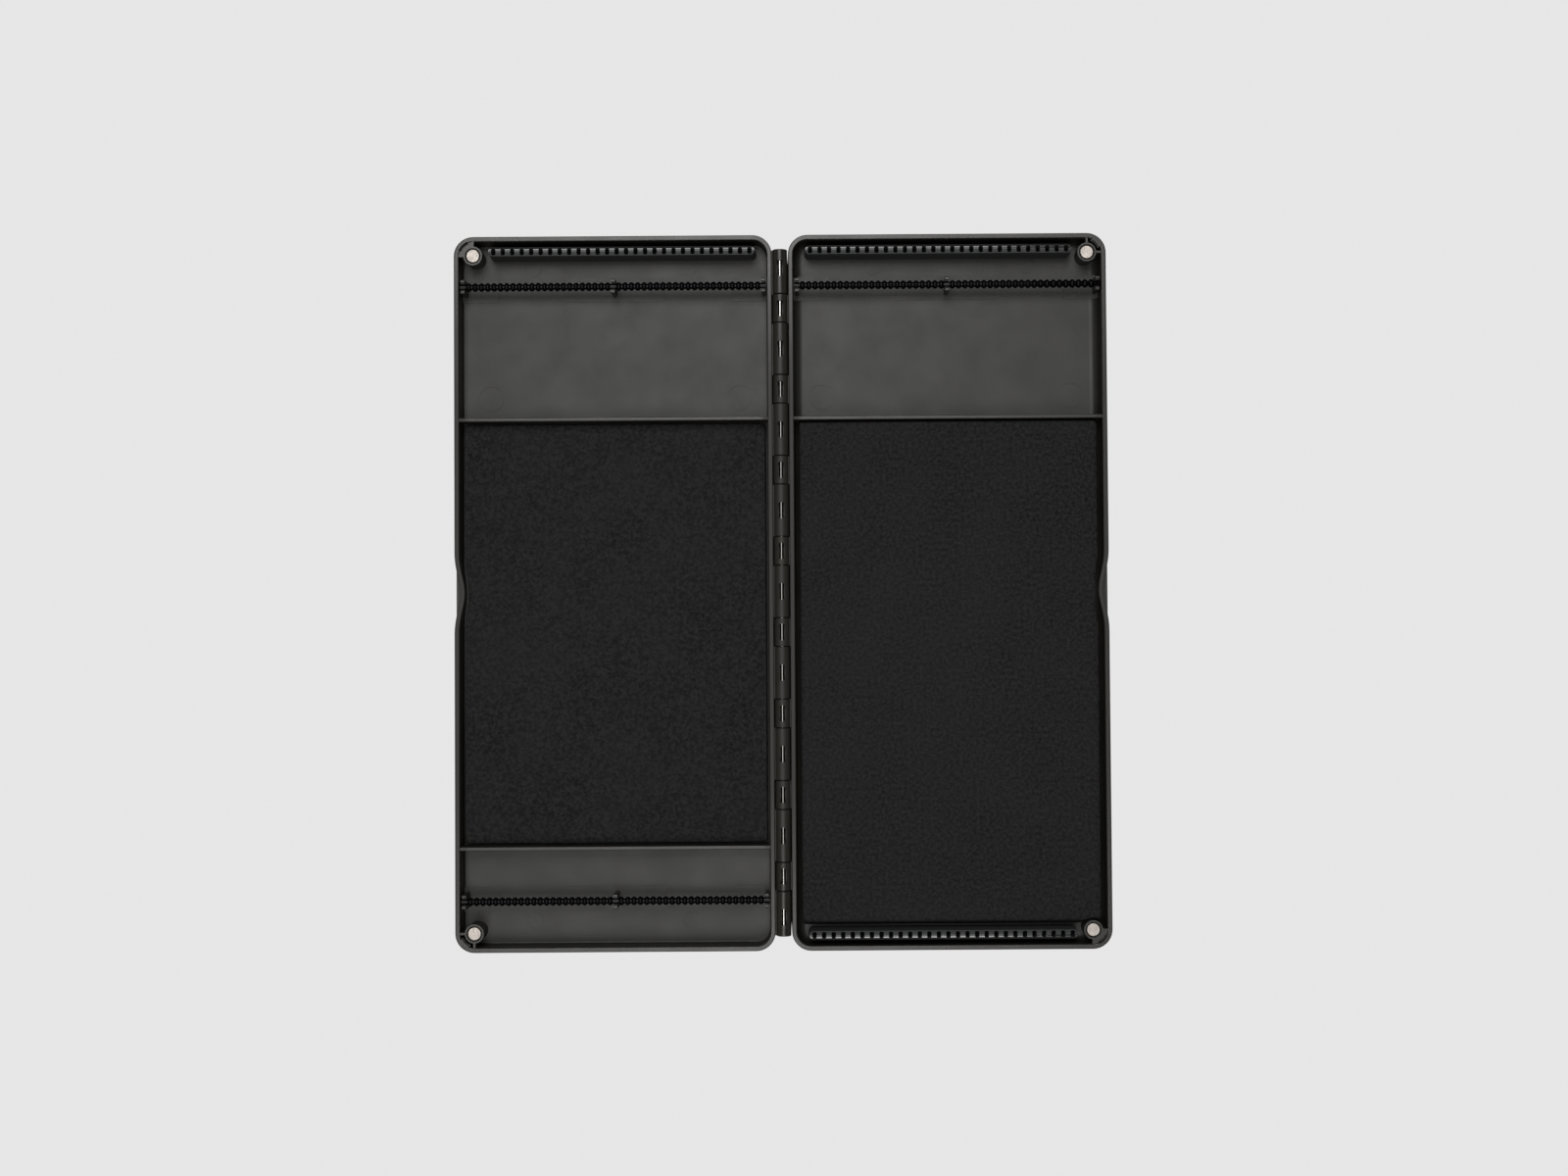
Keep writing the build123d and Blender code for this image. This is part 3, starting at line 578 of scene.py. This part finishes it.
# Two banks of light with a dim gap between them, where the camera looks through, and one for the underside.
# Places and sizes are in metres, power in watts, and tilt in degrees from facing down
softboxes = {
    "farBank": {"place": (-0.11, 0.75, 1.6), "size": (0.76, 0.8), "power": 17.0, "tilt": 0},
    "nearBank": {"place": (-0.11, -0.75, 1.6), "size": (0.76, 0.8), "power": 11.6, "tilt": 0},
    "gapBank": {"place": (-0.11, 0.0, 1.6), "size": (0.76, 0.7), "power": 3.3, "tilt": 0},
    "underBank": {"place": (0.0, -0.5, -1.2), "size": (1.2, 0.5), "power": 14.0, "tilt": 180},
}


def addSoftbox(name, settings):
    light = bpy.data.lights.new(name, "AREA")
    light.shape = "RECTANGLE"
    light.size, light.size_y = settings["size"]
    light.energy = settings["power"]
    box = bpy.data.objects.new(name, light)
    box.location = settings["place"]
    box.rotation_euler = (math.radians(settings["tilt"]), 0, 0)
    bpy.context.scene.collection.objects.link(box)


# The photograph is 1600 pixels wide; the principal point lies off its middle. turn is in degrees
photoView = {
    "place": (19.16 * mm, -15.64 * mm, 1058.41 * mm), "turn": (1.4899, -0.0078, -0.3871),
    "focalPixels": 2177, "imageWidth": 1600, "sensorWidth": 36.0, "shiftPixels": (38.29, -20.69),
    "clipStart": 0.01,
}


def makeCamera(settings):
    lens = bpy.data.cameras.new("photoCamera")
    lens.sensor_width = settings["sensorWidth"]
    lens.lens = settings["focalPixels"] / settings["imageWidth"] * settings["sensorWidth"]
    lens.shift_x = -settings["shiftPixels"][0] / settings["imageWidth"]
    lens.shift_y = settings["shiftPixels"][1] / settings["imageWidth"]
    lens.clip_start = settings["clipStart"]
    camera = bpy.data.objects.new("photoCamera", lens)
    camera.location = settings["place"]
    camera.rotation_euler = [math.radians(angle) for angle in settings["turn"]]
    bpy.context.scene.collection.objects.link(camera)
    bpy.context.scene.camera = camera


makeTable(studioTable)
makeBackdrop(backdrop)
for boxName, softbox in softboxes.items():
    addSoftbox(boxName, softbox)
bpy.context.scene.view_settings.view_transform = "Standard"
makeCamera(photoView)
print("studio and camera placed")
